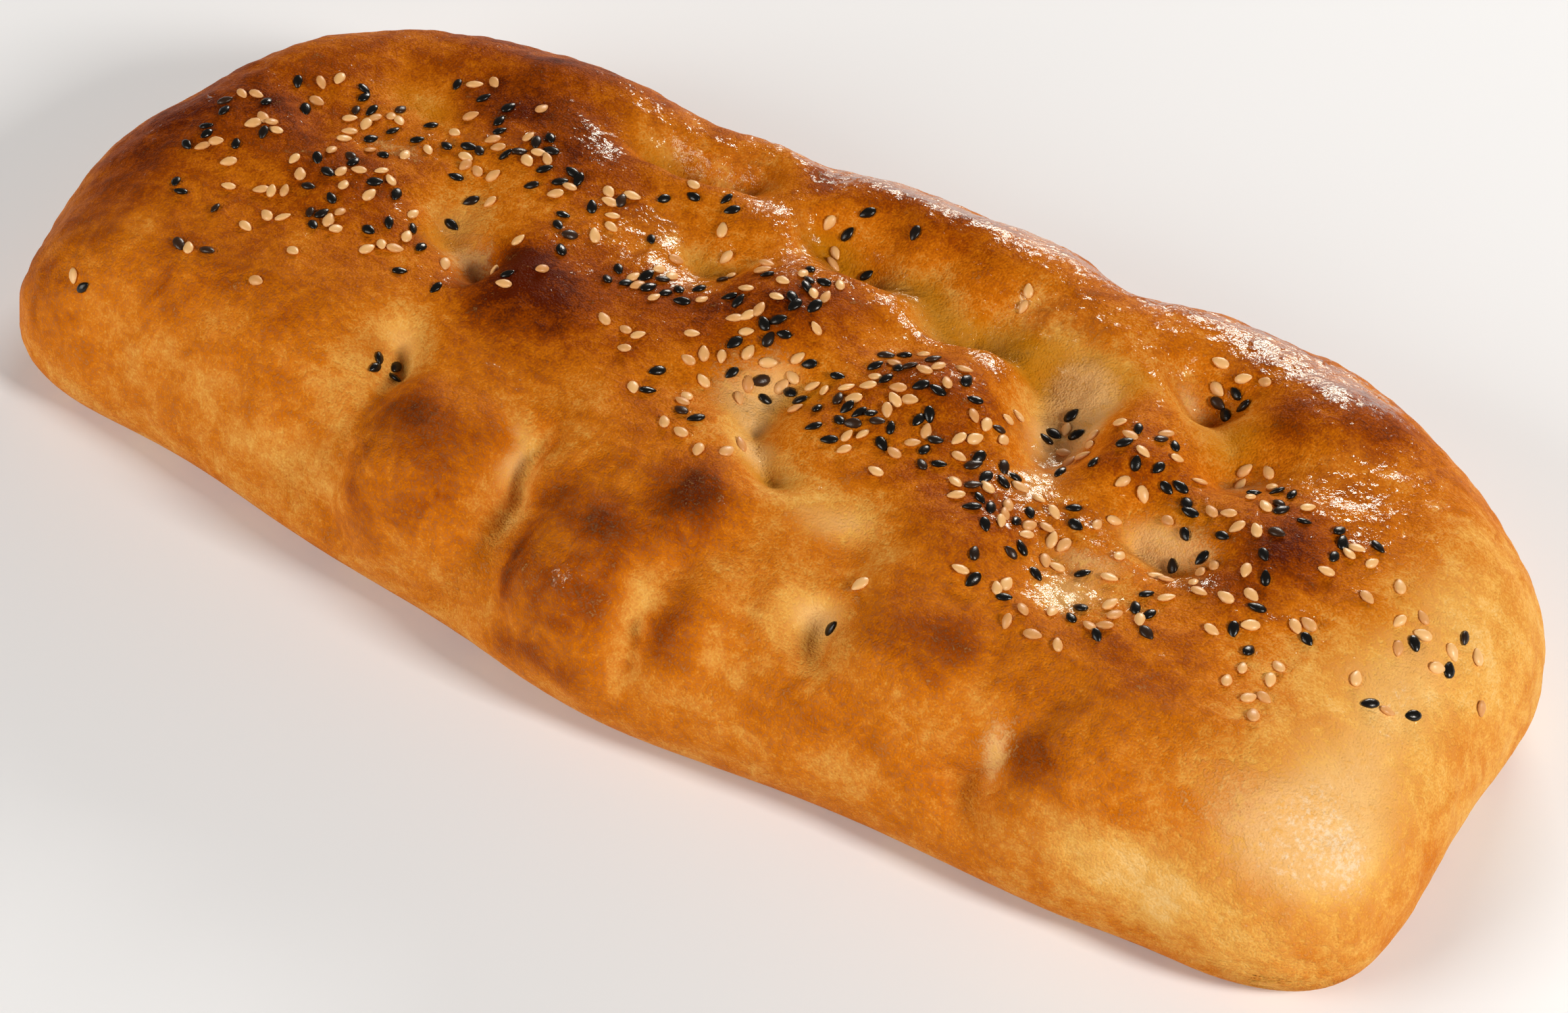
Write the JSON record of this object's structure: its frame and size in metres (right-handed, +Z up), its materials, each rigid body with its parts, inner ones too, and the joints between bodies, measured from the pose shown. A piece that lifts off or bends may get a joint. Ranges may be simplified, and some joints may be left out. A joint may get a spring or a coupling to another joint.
{
  "type": "pide flatbread",
  "caption": "Long oven flatbread with rounded corners, a thick smooth border and a fingertip-dimpled, seed-strewn top.",
  "frame": {"origin": "on the table, under the middle of the loaf's plan", "axes": "+X along the loaf, +Y to the side whose corners are broad, +Z up out of the seeded top"},
  "size_m": [0.327, 0.1493, 0.0484],
  "materials": {
    "crust": "browned, egg-washed bread crust, glossy on the humps and dull in the hollows"
  },
  "bodies": {
    "root": {"pide": "crust"}
  },
  "joints": []
}
